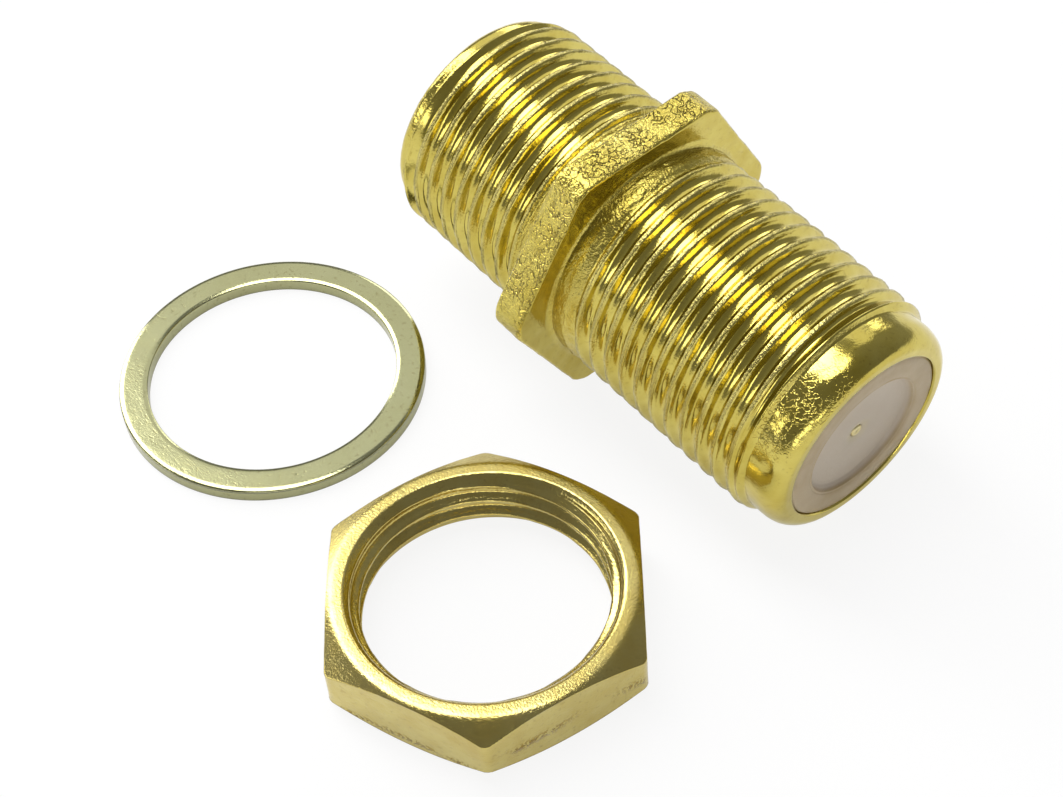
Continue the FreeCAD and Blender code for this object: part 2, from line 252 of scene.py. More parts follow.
# How deep the worn surface is: the crests with their seams and beads, the pebbles beside the flange, the
# lands and their wrinkles, and the flange's flats, faces and bruised edges.
CREST_WEAR = 0.008
SEAM_DEPTH = 0.035
BEAD_DEPTH = 0.01
PEBBLE_DEPTH = 0.03
LAND_DEPTH = 0.006
WRINKLE_DEPTH = 0.01
FLAT_DEPTH = 0.012
FACE_DEPTH = 0.01
BRUISE_DEPTH = 0.05

long_rows = end_rows(LONG_END, LONG_LIP_ROUND, LONG_LIP_REACH, LONG_LAND, LONG_CREST_END, 1)
short_rows = end_rows(SHORT_END, SHORT_LIP_ROUND, SHORT_LIP_REACH, SHORT_LAND, SHORT_CREST_END, -1)
flat_rows = [(s, 0, 1) for s in steps(FLANGE_HALF - FLANGE_EDGE, FLANGE_EDGE - FLANGE_HALF, spacing=0.06)]
back_edge = flange_edge_rows(-1)[::-1]
web_depth = LIP_THICKNESS + POCKET_DEPTH
web_rows = [(s, WEB_BORE, 0) for s in steps(SHORT_END + web_depth, LONG_END - web_depth, spacing=1.5)]
front_rows = long_rows + flange_edge_rows(1)
outline = np.array(front_rows + flat_rows + back_edge + short_rows[::-1] + web_rows, float)

angle = np.arange(COLUMNS) / COLUMNS * TURN
station = outline[:, :1]
rim = hexagon(angle, ACROSS_FLATS, FLANGE_CORNER)
hexagonal = outline[:, 2:3]
radius = outline[:, 1:2] + hexagonal * rim
place = on_axis(station, radius, angle)

outside = (radius > OUTSIDE_RADIUS) & (hexagonal == 0)
long_side = station > 0
root_place = np.where(long_side, LONG_ROOT, SHORT_ROOT)
wander = WANDER * noise(place, cell=1.4, seed=3) + FINE_WANDER * noise(place, cell=0.35, seed=4)
turns = (station - root_place) / THREAD_PITCH - angle / TURN + wander
root, crest, seam = groove(turns)
crest_end = np.where(long_side, LONG_CREST_END, -SHORT_CREST_END)
thread_start = np.where(long_side, LONG_THREAD_START, -SHORT_THREAD_START)
distance = np.abs(station)
rolled = outside * fade(thread_start, RUN_IN, distance) * (1 - fade(crest_end, RUN_OUT, distance))
crest_mask = crest * rolled
beside_flange = outside * (1 - fade(thread_start, PEBBLE_FADE, distance))
on_land = outside * fade(crest_end, LAND_FADE, distance)
flats = hexagonal * (distance < FLANGE_HALF - FLAT_MARGIN)
edges = hexagonal * fade(FLANGE_HALF, EDGE_FADE, distance)

pebbles = noise(place, cell=0.13, seed=5) + 0.6 * noise(place, cell=0.07, seed=6)
peel = noise(place, cell=0.34, seed=7) + 0.6 * noise(place, cell=0.17, seed=8)
wrinkled = on_land * smooth_step(*WRINKLES_OUT, angle) * smooth_step(*WRINKLES_IN, angle)
# Each noise has a number added to it, so that wear takes metal away and seldom adds any.
radius = np.where(outside, np.minimum(radius, THREAD_RADIUS - rolled * THREAD_DEPTH * root), radius)
radius -= crest_mask * (CREST_WEAR + SEAM_DEPTH * seam)
radius -= crest_mask * BEAD_DEPTH * (pebbles + 0.8)
radius -= beside_flange * PEBBLE_DEPTH * (pebbles + 1.2)
radius -= (LAND_DEPTH * on_land + WRINKLE_DEPTH * wrinkled) * (peel + 1.2)
radius -= flats * FLAT_DEPTH * (peel + 1.4)
radius -= edges * BRUISE_DEPTH * smooth_step(0.1, 0.9, noise(place, cell=0.5, seed=9))
station = station - np.sign(station) * (hexagonal > 0) * FACE_DEPTH * (peel + 1.5)

barrel = surface(
    "barrel_metal",
    on_axis(station, radius, angle),
    {
        "crest": crest_mask,
        "seam": rolled * seam,
        "flats": flats,
        "beside": beside_flange,
        "wrinkled": wrinkled,
    },
)


def add_node(tree, kind, settings, **inputs):
    """A shader node with its settings, and inputs that are values or other nodes' sockets.

    An input is named by its socket, with _ for a space, or by i and its number.
    """
    made = tree.nodes.new(kind)
    for title, value in settings.items():
        setattr(made, title, value)
    for title, value in inputs.items():
        numbered = title[0] == "i" and title[1:].isdigit()
        socket = made.inputs[int(title[1:])] if numbered else made.inputs[title.replace("_", " ")]
        if isinstance(value, bpy.types.NodeSocket):
            tree.links.new(value, socket)
        else:
            socket.default_value = value
    return made


def math_of(tree, operation, *values):
    """The output of a Math node."""
    inputs = {f"i{place}": value for place, value in enumerate(values)}
    return add_node(tree, "ShaderNodeMath", {"operation": operation}, **inputs).outputs[0]


def mix_of(tree, share, first, second):
    """The output of a colour Mix node."""
    return add_node(tree, "ShaderNodeMix", {"data_type": "RGBA"}, i0=share, i6=first, i7=second).outputs[2]


def range_of(tree, value, low, high, to_low=0.0, to_high=1.0):
    """The output of a Map Range node, which turns low into to_low and high into to_high."""
    made = add_node(tree, "ShaderNodeMapRange", {}, i0=value, i1=low, i2=high, i3=to_low, i4=to_high)
    return made.outputs[0]


def cloud_of(tree, cell, detail):
    """A noise on the piece's own coordinates, with its cell in millimetres."""
    place = add_node(tree, "ShaderNodeTexCoord", {}).outputs["Object"]
    scale = 1 / (cell * MM)
    return add_node(tree, "ShaderNodeTexNoise", {}, Vector=place, Scale=scale, Detail=detail).outputs[0]


def mask_of(tree, title):
    """One of the piece's own masks."""
    return add_node(tree, "ShaderNodeAttribute", {"attribute_name": title}).outputs["Fac"]


def linear(red, green, blue):
    """A colour given as it looks on a screen, from 0 to 255, made linear for the shader."""
    share = [c / 255 for c in (red, green, blue)]
    return tuple(s / 12.92 if s <= 0.04045 else ((s + 0.055) / 1.055) ** 2.4 for s in share) + (1.0,)


def plating_group():
    """Thin plating on brass: drifts between two tones, with darker specks, fine pits and uneven polish."""
    group = bpy.data.node_groups.new("thin_plating", "ShaderNodeTree")
    for title in ("Pale", "Deep", "Speck"):
        group.interface.new_socket(name=title, in_out="INPUT", socket_type="NodeSocketColor")
    for title in ("Speckled", "Smooth", "Rough", "Grain"):
        group.interface.new_socket(name=title, in_out="INPUT", socket_type="NodeSocketFloat")
    group.interface.new_socket(name="Color", in_out="OUTPUT", socket_type="NodeSocketColor")
    for title in ("Roughness", "Height"):
        group.interface.new_socket(name=title, in_out="OUTPUT", socket_type="NodeSocketFloat")
    given = group.nodes.new("NodeGroupInput").outputs
    drift = range_of(group, cloud_of(group, cell=2.6, detail=3.0), 0.35, 0.68)
    clouds = range_of(group, cloud_of(group, cell=0.7, detail=4.0), 0.3, 0.75)
    share = math_of(group, "MULTIPLY", math_of(group, "ADD", drift, clouds), 0.5)
    tone = mix_of(group, share, given["Pale"], given["Deep"])
    specks = range_of(group, cloud_of(group, cell=0.16, detail=2.0), 0.6, 0.72)
    specks = math_of(group, "MULTIPLY", specks, given["Speckled"])
    tone = mix_of(group, specks, tone, given["Speck"])
    fine = cloud_of(group, cell=0.09, detail=3.0)
    polish = math_of(group, "MULTIPLY", math_of(group, "ADD", fine, clouds), 0.5)
    spread = math_of(group, "SUBTRACT", given["Rough"], given["Smooth"])
    rough = math_of(group, "MULTIPLY_ADD", polish, spread, given["Smooth"])
    height = math_of(group, "MULTIPLY", math_of(group, "SUBTRACT", fine, specks), given["Grain"])
    out = group.nodes.new("NodeGroupOutput")
    for title, value in (("Color", tone), ("Roughness", rough), ("Height", height)):
        group.links.new(value, out.inputs[title])
    return group


thin_plating = plating_group()


def new_material(name):
    """An empty material's tree, with its shader and output joined."""
    material = bpy.data.materials.new(name)
    material.use_nodes = True
    tree = material.node_tree
    tree.nodes.clear()
    shader = tree.nodes.new("ShaderNodeBsdfPrincipled")
    out = tree.nodes.new("ShaderNodeOutputMaterial")
    tree.links.new(shader.outputs[0], out.inputs["Surface"])
    return material, tree, shader


def plated(tree, pale, deep, speck, speckled, smooth, rough, grain):
    """The plating group with its own values."""
    made = add_node(
        tree,
        "ShaderNodeGroup",
        {"node_tree": thin_plating},
        Pale=pale,
        Deep=deep,
        Speck=speck,
        Speckled=speckled,
        Smooth=smooth,
        Rough=rough,
        Grain=grain,
    )
    return made.outputs


def bump_of(tree, height, depth):
    """A normal from a height, in millimetres."""
    return add_node(tree, "ShaderNodeBump", {}, Height=height, Strength=1.0, Distance=depth * MM).outputs[0]


def cracks_of(tree, cell, width, patchy):
    """Thin winding cracks, 1 inside them: where a noise crosses its middle, in patches of a coarser one."""
    winding = cloud_of(tree, cell, detail=1.5)
    coarse = cloud_of(tree, cell=1.4, detail=1.0)
    apart = math_of(tree, "ABSOLUTE", math_of(tree, "SUBTRACT", winding, 0.5))
    lines = range_of(tree, apart, 0.0, width, to_low=1.0, to_high=0.0)
    patches = range_of(tree, coarse, patchy, patchy + 0.12, to_low=0.15)
    return math_of(tree, "MULTIPLY", lines, patches)


# How much painted shade darkens the seams and cracks, how much painted highlight pales the crests, and how
# faint the lands' cracks are.
SEAM_SHADE = 0.5
CRACK_SHADE = 0.65
CREST_HIGHLIGHT = 0.45
LAND_CRACKS = 0.32
# The beaded places are rougher than the rest and have more grain, and the cracks are cut into it.
BEAD_ROUGH = 0.07
BEAD_GRAIN = 1.5
SMOOTH_GRAIN = 0.22
CRACK_GRAIN = 2.0


def barrel_metal():
    """Bright gold-coloured plating: beaded on the crests, with a painted highlight there, cracked on the
    flats, and darkened by painted shade in the seams and cracks.
    """
    material, tree, shader = new_material("barrel_plating")
    crest, seam, flats = mask_of(tree, "crest"), mask_of(tree, "seam"), mask_of(tree, "flats")
    beside, wrinkled = mask_of(tree, "beside"), mask_of(tree, "wrinkled")
    beaded = math_of(tree, "MAXIMUM", math_of(tree, "MAXIMUM", crest, flats), beside)
    made = plated(
        tree,
        pale=linear(210, 195, 106),
        deep=linear(190, 170, 70),
        speck=linear(122, 98, 42),
        speckled=0.2,
        smooth=0.09,
        rough=0.2,
        grain=1.0,
    )
    on_flats = math_of(tree, "MULTIPLY", cracks_of(tree, cell=0.3, width=0.05, patchy=0.38), flats)
    fine_cracks = math_of(tree, "MULTIPLY", cracks_of(tree, cell=0.2, width=0.05, patchy=0.42), wrinkled)
    cracks = math_of(tree, "MAXIMUM", on_flats, math_of(tree, "MULTIPLY", fine_cracks, LAND_CRACKS))
    # Painted shade: the seams and the cracks are darkened towards a deep olive.
    seam_shade = math_of(tree, "MULTIPLY", seam, SEAM_SHADE)
    dark = math_of(tree, "MAXIMUM", seam_shade, math_of(tree, "MULTIPLY", cracks, CRACK_SHADE))
    tone = mix_of(tree, dark, made["Color"], linear(104, 82, 34))
    # Painted highlight: the crests are paled towards a whitish gold.
    tone = mix_of(tree, math_of(tree, "MULTIPLY", crest, CREST_HIGHLIGHT), tone, linear(208, 198, 132))
    rough = math_of(tree, "MULTIPLY_ADD", beaded, BEAD_ROUGH, made["Roughness"])
    coarseness = math_of(tree, "MULTIPLY_ADD", beaded, BEAD_GRAIN, SMOOTH_GRAIN)
    grain = math_of(tree, "MULTIPLY", made["Height"], coarseness)
    height = math_of(tree, "SUBTRACT", grain, math_of(tree, "MULTIPLY", cracks, CRACK_GRAIN))
    shader.inputs["Metallic"].default_value = 1.0
    tree.links.new(tone, shader.inputs["Base Color"])
    tree.links.new(rough, shader.inputs["Roughness"])
    tree.links.new(bump_of(tree, height, depth=0.02), shader.inputs["Normal"])
    return material


def finish_piece(piece, material, node):
    """Gives a piece its material and its body, and hides the part from model.glb that it stands for."""
    piece.data.materials.append(material)
    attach(piece, "root")
    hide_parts(node)


finish_piece(barrel, barrel_metal(), "barrel")

# Insulators: two equal mouldings of milky, slightly translucent plastic, one behind each rolled lip. Each
# has an outer ring, a recessed floor and a funnel that leads a plug's pin to the contact.

INSULATOR_INSET = 0.05
INSULATOR_RADIUS = 3.53
RIM_RADIUS = 3.78
RECESS_RADIUS = 2.5
RECESS_DEPTH = 0.27
FUNNEL = 0.3
FUNNEL_DEPTH = 0.09
PIN_HOLE = 0.26
PIN_HOLE_LENGTH = 0.13
SLEEVE_BORE = 0.74
SLEEVE_RADIUS = 1.7
SLEEVE_LENGTH = 3.4
# The rounded rim, the faint line that the mould leaves round the recess, and the fillet at its floor.
RIM_ROUND = 0.08
LINE_REACH = 0.16
LINE_STEP = 0.06
LINE_RISE = 0.01
LINE_DEPTH = 0.03
FILLET_WIDTH = 0.3
FILLET_HEIGHT = 0.12
FLOOR_DISH = 0.02
DISH_WIDTH = 0.25
RECESS_FADE = (0.02, -0.05)
HOLE_FADE = 0.15
INSULATOR_COLUMNS = 128


def insulator(name, end, side):
    """A section turned about the axis: its corners, each stretch between them cut in three, at every angle.

    It runs from the rim over the face and down the pin hole, through the sleeve and back along its outside.
    """
    face = -INSULATOR_INSET
    floor = face - RECESS_DEPTH
    wall = floor - PIN_HOLE_LENGTH
    pocket = -LIP_THICKNESS - POCKET_DEPTH
    sleeve = pocket - SLEEVE_LENGTH
    line = RECESS_RADIUS + LINE_REACH
    funnel = PIN_HOLE + FUNNEL
    corners = [
        (RIM_RADIUS, pocket),
        (RIM_RADIUS, -LIP_THICKNESS),
        (INSULATOR_RADIUS, -LIP_THICKNESS),
        (INSULATOR_RADIUS, face - RIM_ROUND),
        (INSULATOR_RADIUS - RIM_ROUND, face),
        (line, face + LINE_RISE),
        (line - LINE_STEP, face - LINE_DEPTH),
        (line - 2 * LINE_STEP, face - LINE_RISE),
        (RECESS_RADIUS, face - RIM_ROUND),
        (RECESS_RADIUS - FILLET_WIDTH / 10, floor + FILLET_HEIGHT),
        (RECESS_RADIUS - FILLET_WIDTH * 0.4, floor + FILLET_HEIGHT / 6),
        (RECESS_RADIUS - FILLET_WIDTH, floor),
        (funnel + DISH_WIDTH, floor),
        (funnel, floor - FLOOR_DISH),
        (PIN_HOLE, floor - FUNNEL_DEPTH),
        (PIN_HOLE, wall),
        (SLEEVE_BORE, wall),
        (SLEEVE_BORE, sleeve),
        (SLEEVE_RADIUS, sleeve),
        (SLEEVE_RADIUS, pocket),
    ]
    profile = np.array(corners)
    after = np.roll(profile, -1, axis=0)
    thirds = [profile, (profile * 2 + after) / 3, (profile + after * 2) / 3]
    fine = np.stack(thirds, axis=1).reshape(-1, 2)
    reach, depth = fine[:, :1], fine[:, 1:]
    around = side * np.arange(INSULATOR_COLUMNS) / INSULATOR_COLUMNS * TURN
    points = on_axis(end + side * depth, reach, around)
    # Masks for the painted light on the recess floor and in the funnel and pin hole.
    recess = fade(RECESS_RADIUS, RECESS_FADE, reach)
    hole = smooth_step(funnel + HOLE_FADE, PIN_HOLE, reach)
    return surface(name, points[::-1], {"recess": recess[::-1], "hole": hole[::-1]})


def milky_plastic():
    """Milky plastic that takes a little of the colour of the metal behind it, with painted light on the
    recess floor and in the pin hole.
    """
    material, tree, shader = new_material("milky_plastic")
    clouds = cloud_of(tree, cell=1.2, detail=3.0)
    fine = cloud_of(tree, cell=0.15, detail=2.0)
    share = range_of(tree, clouds, 0.35, 0.65)
    tone = mix_of(tree, share, linear(178, 156, 116), linear(192, 174, 142))
    # Painted light: the recess floor, the funnel and the pin hole are paler, which lifts the shade in them.
    tone = mix_of(tree, mask_of(tree, "recess"), tone, linear(198, 184, 164))
    tone = mix_of(tree, mask_of(tree, "hole"), tone, linear(206, 190, 158))
    tree.links.new(tone, shader.inputs["Base Color"])
    rough = range_of(tree, clouds, 0.3, 0.7, to_low=0.38, to_high=0.55)
    tree.links.new(rough, shader.inputs["Roughness"])
    tree.links.new(bump_of(tree, fine, depth=0.01), shader.inputs["Normal"])
    shader.inputs["Subsurface Weight"].default_value = 0.25
    shader.inputs["Subsurface Radius"].default_value = (0.6, 0.5, 0.4)
    shader.inputs["Subsurface Scale"].default_value = 0.001
    return material


plastic = milky_plastic()
near_moulding = insulator("near_insulator_moulding", LONG_END, 1)
far_moulding = insulator("far_insulator_moulding", SHORT_END, -1)
finish_piece(near_moulding, plastic, "near_insulator")
finish_piece(far_moulding, plastic, "far_insulator")

# Centre contact: a plated brass pin with a sprung socket in each end, trapped between the two insulators.
# At rest the tips of its fingers close to a dome with a small nose, which shows in each pin hole.

CONTACT_RADIUS = 0.72
CONTACT_BORE = 0.47
CONTACT_MOUTH = 0.03
NOSE_RADIUS = 0.235
NOSE_LENGTH = 0.11
NOSE_ROUND = 0.03
CONTACT_GAP = 0.02
DOME_START = 0.31
SOCKET_DEPTH = 6.5
CONTACT_COLUMNS = 64


def contact_tip(end, side):
    """One closed tip, walked from the bottom of its socket out to its mouth and over to its outside.

    The dome is an arc from the nose's foot, at the angle DOME_START, to a quarter turn at the outside.
    """
    tip = end - side * (INSULATOR_INSET + RECESS_DEPTH + PIN_HOLE_LENGTH + CONTACT_GAP)
    bend = CONTACT_RADIUS - CONTACT_MOUTH
    nose = tip + side * NOSE_LENGTH
    dome = [
        (nose, CONTACT_MOUTH),
        (nose, NOSE_RADIUS - NOSE_ROUND),
        (nose - side * NOSE_ROUND * 2 / 3, NOSE_RADIUS),
        (tip, NOSE_RADIUS),
    ]
    dome += [
        (tip - side * bend * (1 - math.cos(t)), CONTACT_MOUTH + bend * math.sin(t))
        for t in steps(DOME_START, TURN / 4, spacing=0.15)
    ]
    bottom = tip - side * SOCKET_DEPTH
    inside = [(bottom, CONTACT_MOUTH), (bottom, CONTACT_BORE), (tip - side * bend, CONTACT_BORE)]
    return inside + dome + [(tip - side * bend, CONTACT_RADIUS)]


contact_outline = np.array(contact_tip(LONG_END, 1) + contact_tip(SHORT_END, -1)[::-1], float)
contact_angle = np.arange(CONTACT_COLUMNS) / CONTACT_COLUMNS * TURN
contact_points = on_axis(contact_outline[:, :1], contact_outline[:, 1:], contact_angle)
contact = surface("centre_contact_metal", contact_points, {})


def contact_metal():
    """Plain plating on spring metal, a little duller than the barrel."""
    material, tree, shader = new_material("contact_plating")
    made = plated(
        tree,
        pale=linear(240, 230, 190),
        deep=linear(226, 210, 150),
        speck=linear(190, 170, 120),
        speckled=0.2,
        smooth=0.4,
        rough=0.6,
        grain=0.5,
    )
    shader.inputs["Metallic"].default_value = 1.0
    tree.links.new(made["Color"], shader.inputs["Base Color"])
    tree.links.new(made["Roughness"], shader.inputs["Roughness"])
    tree.links.new(bump_of(tree, made["Height"], depth=0.01), shader.inputs["Normal"])
    return material


finish_piece(contact, contact_metal(), "centre_contact")

# Panel nut: a thin jam nut, turned from brass hexagon bar. Both faces run out in a cone, which leaves an
# arc on each flat. Its hole is countersunk and tapped, and it is plated like the barrel, a little paler.

NUT_CORNER = 6.36
NUT_FACE = 5.42
NUT_SLOPE = 0.6036
NUT_MINOR = 4.46
NUT_MAJOR = 4.8
NUT_MOUTH = 4.98
NUT_MOUTH_DEPTH = 0.42
MOUTH_MARGIN = 0.01
NUT_TURN = -9.9
NUT_SOFTNESS = 0.12
NUT_COLUMNS = 288
NUT_WANDER = 0.012
# How deep the soft hollows of its flats and of its faces are.
NUT_DEPTH = 0.008
NUT_FACE_DEPTH = 0.001
# Two flats have a line of scars. Its height and width are shares of the nut's height.
SCAR_HALF_ANGLE = math.radians(29)
SCARS_WANDER = 0.04
RIGHT_SCARS = 0.42
RIGHT_SCARS_WIDTH = 0.07
LEFT_SCARS = 0.16
LEFT_SCARS_WIDTH = 0.045

nut_low, nut_high = (np.array(corner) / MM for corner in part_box("panel_nut"))
nut_middle = (nut_low + nut_high) / 2
nut_height = nut_high[2]


def nut_rows():
    """The nut's section from the bottom of its bore up, over its upper face, down its flats and back.

    Each row is a height, a radius, the share of the way from its face ring to the hexagon, and 1 on the
    upper face, -1 on the lower one and 0 elsewhere.
    """
    top = nut_height
    rows = [(z, NUT_MINOR, 0, 0) for z in steps(NUT_MOUTH_DEPTH, top - NUT_MOUTH_DEPTH, spacing=0.05)]
    rows += [
        (top - NUT_MOUTH_DEPTH * (1 - f), NUT_MINOR + (NUT_MOUTH - NUT_MINOR) * f, 0, 0)
        for f in steps(0, 1, spacing=0.12)
    ]
    rows += [(top, r, 0, 1) for r in steps(NUT_MOUTH, NUT_FACE, spacing=0.05)]
    rows += [(top, NUT_FACE, f, 1) for f in steps(0, 1, spacing=0.05)]
    rows += [(z, NUT_FACE, 1, 0) for z in steps(top, 0, spacing=0.06)]
    rows += [(0, NUT_FACE, f, -1) for f in steps(1, 0, spacing=0.05)]
    rows += [(0, r, 0, -1) for r in steps(NUT_FACE, NUT_MOUTH, spacing=0.05)]
    rows += [
        (NUT_MOUTH_DEPTH * f, NUT_MOUTH + (NUT_MINOR - NUT_MOUTH) * f, 0, 0)
        for f in steps(0, 1, spacing=0.12)
    ]
    return np.array(rows, float)


nut_outline = nut_rows()
nut_angle = np.arange(NUT_COLUMNS) / NUT_COLUMNS * TURN
nut_rim = hexagon(nut_angle + TURN / 4, ACROSS_FLATS, NUT_CORNER)
height, reach, cone = nut_outline[:, :1], nut_outline[:, 2:3], nut_outline[:, 3:]
nut_radius = nut_outline[:, 1:2] + reach * (nut_rim - NUT_FACE)


def cone_fall(radius):
    """How far the cone has fallen: its slope times half of d plus the root of d squared plus w squared.

    Here d is how far the place lies past the face ring, and w is the softness of the bend there.
    """
    beyond = radius - NUT_FACE
    return NUT_SLOPE * (beyond + np.sqrt(beyond**2 + NUT_SOFTNESS**2)) / 2


fall = cone_fall(nut_rim)
on_side = (reach == 1) & (cone == 0)
side_level = fall + (nut_height - 2 * fall) * (height / nut_height)
level = np.where(on_side, side_level, height - cone * cone_fall(nut_radius))
spin = nut_angle + math.radians(NUT_TURN)


def upright(middle, radius, angle, height):
    """Points about an upright axis through middle: radius out at that angle, at that height."""
    radius, angle, height = np.broadcast_arrays(radius, angle, height)
    east = middle[0] + radius * np.cos(angle)
    north = middle[1] + radius * np.sin(angle)
    return np.stack([east, north, height], axis=-1)


nut_place = upright(nut_middle, nut_radius, spin, level)
in_bore = (nut_radius < NUT_MOUTH - MOUTH_MARGIN) & (reach == 0)
nut_turns = level / THREAD_PITCH - nut_angle / TURN + NUT_WANDER * noise(nut_place, cell=0.8, seed=21)
nut_root = groove(nut_turns)[0]
thread_reach = np.clip(NUT_MAJOR - nut_radius, 0, None)
bore_cut = in_bore * thread_reach * nut_root
nut_peel = noise(nut_place, cell=0.5, seed=22) + 0.5 * noise(nut_place, cell=0.2, seed=23)
right_flat = np.cos(nut_angle) > math.cos(SCAR_HALF_ANGLE)
left_flat = np.cos(nut_angle + TURN / 6) > math.cos(SCAR_HALF_ANGLE)
patches = smooth_step(-0.35, 0.25, noise(nut_place, cell=0.9, seed=24))
right_line = RIGHT_SCARS + SCARS_WANDER * noise(nut_place, cell=1.5, seed=26)
right_scars = right_flat * np.exp(-(((level / nut_height - right_line) / RIGHT_SCARS_WIDTH) ** 2))
left_scars = left_flat * np.exp(-(((level / nut_height - LEFT_SCARS) / LEFT_SCARS_WIDTH) ** 2))
nut_radius = nut_radius + bore_cut - on_side * NUT_DEPTH * (nut_peel + 1.6)
on_faces = (reach < 1) * ~in_bore
level = level - np.sign(level - nut_height / 2) * on_faces * NUT_FACE_DEPTH * (nut_peel + 1.5)
nut = surface(
    "panel_nut_metal",
    upright(nut_middle, nut_radius, spin, level),
    {"cone": cone != 0, "scars": on_side * patches * (right_scars + left_scars)},
)


# The cones are rougher than the rest, and the scars are darker and cut into the grain.
CONE_ROUGH = 0.06
SCAR_DARK = 0.8
SCAR_GRAIN = 2.0


def nut_metal():
    """Bright gold-coloured plating, a little duller on the turned cones and pitted along the scars."""
    material, tree, shader = new_material("nut_plating")
    made = plated(
        tree,
        pale=linear(208, 194, 124),
        deep=linear(192, 171, 92),
        speck=linear(124, 98, 46),
        speckled=0.2,
        smooth=0.1,
        rough=0.24,
        grain=0.6,
    )
    rough = math_of(tree, "MULTIPLY_ADD", mask_of(tree, "cone"), CONE_ROUGH, made["Roughness"])
    ragged = range_of(tree, cloud_of(tree, cell=0.13, detail=3.0), 0.5, 0.55)
    scars = math_of(tree, "MULTIPLY", mask_of(tree, "scars"), ragged)
    tone = mix_of(tree, math_of(tree, "MULTIPLY", scars, SCAR_DARK), made["Color"], linear(140, 108, 34))
    height = math_of(tree, "SUBTRACT", made["Height"], math_of(tree, "MULTIPLY", scars, SCAR_GRAIN))
    shader.inputs["Metallic"].default_value = 1.0
    tree.links.new(tone, shader.inputs["Base Color"])
    tree.links.new(rough, shader.inputs["Roughness"])
    tree.links.new(bump_of(tree, height, depth=0.02), shader.inputs["Normal"])
    return material


finish_piece(nut, nut_metal(), "panel_nut")

# Flat washer: a ring punched from thin brass sheet, which rounds its upper edges, and plated in a paler
# tone than the barrel and the nut.

WASHER_ROLL = 0.15
WASHER_DROP = 0.028
WASHER_CORNER = 0.06
WASHER_BORE = 4.91
WASHER_DENTS = 0.003
WASHER_COLUMNS = 288

washer_low, washer_high = (np.array(corner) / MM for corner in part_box("flat_washer"))
washer_middle = (washer_low + washer_high) / 2
washer_radius = (washer_high[0] - washer_low[0]) / 2
washer_top = washer_high[2]


def washer_rows():
    """The ring's section: up its bore, over the rolled edges and the flat top, and down its outside.

    A rolled edge falls by the square of the way across it, and ends in a small round corner.
    """
    ways = steps(0, 1, spacing=0.12)
    bend = steps(0, TURN / 4, spacing=0.4)
    middle = washer_top - WASHER_DROP - WASHER_CORNER
    inner = WASHER_BORE + WASHER_CORNER
    outer = washer_radius - WASHER_CORNER
    corner = [(middle + WASHER_CORNER * math.sin(t), WASHER_CORNER * math.cos(t)) for t in bend]
    rows = [(z, WASHER_BORE) for z in steps(0, middle, spacing=0.08)]
    rows += [(z, inner - reach) for z, reach in corner]
    rows += [(washer_top - WASHER_DROP * (1 - f) ** 2, inner + WASHER_ROLL * f) for f in ways]
    rows += [(washer_top, r) for r in steps(inner + WASHER_ROLL, outer - WASHER_ROLL, spacing=0.09)]
    rows += [(washer_top - WASHER_DROP * f**2, outer - WASHER_ROLL * (1 - f)) for f in ways]
    rows += [(z, outer + reach) for z, reach in corner[::-1]]
    rows += [(z, washer_radius) for z in steps(middle, 0, spacing=0.08)]
    rows += [(0, r) for r in steps(washer_radius, WASHER_BORE, spacing=0.15)]
    return np.array(rows, float)


washer_outline = washer_rows()
ring_angle = np.arange(WASHER_COLUMNS) / WASHER_COLUMNS * TURN
ring_level = washer_outline[:, :1]
ring_points = upright(washer_middle, washer_outline[:, 1:], ring_angle, ring_level)
ring_dents = noise(ring_points, cell=1.3, seed=31) + 0.5 * noise(ring_points, cell=0.4, seed=32)
ring_points[..., 2] -= WASHER_DENTS * (ring_dents + 1.5) * (ring_level > washer_top / 2)
washer = surface("flat_washer_metal", ring_points, {})


def washer_metal():
    """Pale satin plating with fine specks."""
    material, tree, shader = new_material("washer_plating")
    made = plated(
        tree,
        pale=linear(172, 172, 132),
        deep=linear(164, 163, 120),
        speck=linear(140, 134, 92),
        speckled=0.5,
        smooth=0.12,
        rough=0.18,
        grain=0.22,
    )
    shader.inputs["Metallic"].default_value = 1.0
    tree.links.new(made["Color"], shader.inputs["Base Color"])
    tree.links.new(made["Roughness"], shader.inputs["Roughness"])
    tree.links.new(bump_of(tree, made["Height"], depth=0.012), shader.inputs["Normal"])
    return material


finish_piece(washer, washer_metal(), "flat_washer")

# Floor, light and camera: a plain pale table under soft white light. The table is part plain white, with
# more of that for the camera than for the metal, and part paper, which takes the three things' shadows.

TABLE_HALF = 400.0
PAPER = 0.9
WHITE = (1.0, 1.0, 1.0, 1.0)
# The share of plain white in the table.
TABLE_SEEN = 0.88
TABLE_IN_METAL = 0.5
# How bright the room is: in the metal, on the camera's side and on the far side, and for all the rest.
NEAR_ROOM_GLOW = 0.2
FAR_ROOM_GLOW = 0.3
SKY_GLOW = 0.22
HORIZON = 0.03

# The way that the camera looks, level with the ground.
heading = np.array([-0.7992, 0.6011, 0.0])


def seen_white(tree, by_camera, by_metal):
    """One value for rays from the camera, another for rays that metal or clear plastic sends on, else 0."""
    path = add_node(tree, "ShaderNodeLightPath", {}).outputs
    sent_on = math_of(tree, "MAXIMUM", path["Is Glossy Ray"], path["Is Transmission Ray"])
    seen = math_of(tree, "MULTIPLY", path["Is Camera Ray"], by_camera)
    return math_of(tree, "MULTIPLY_ADD", sent_on, by_metal, seen)


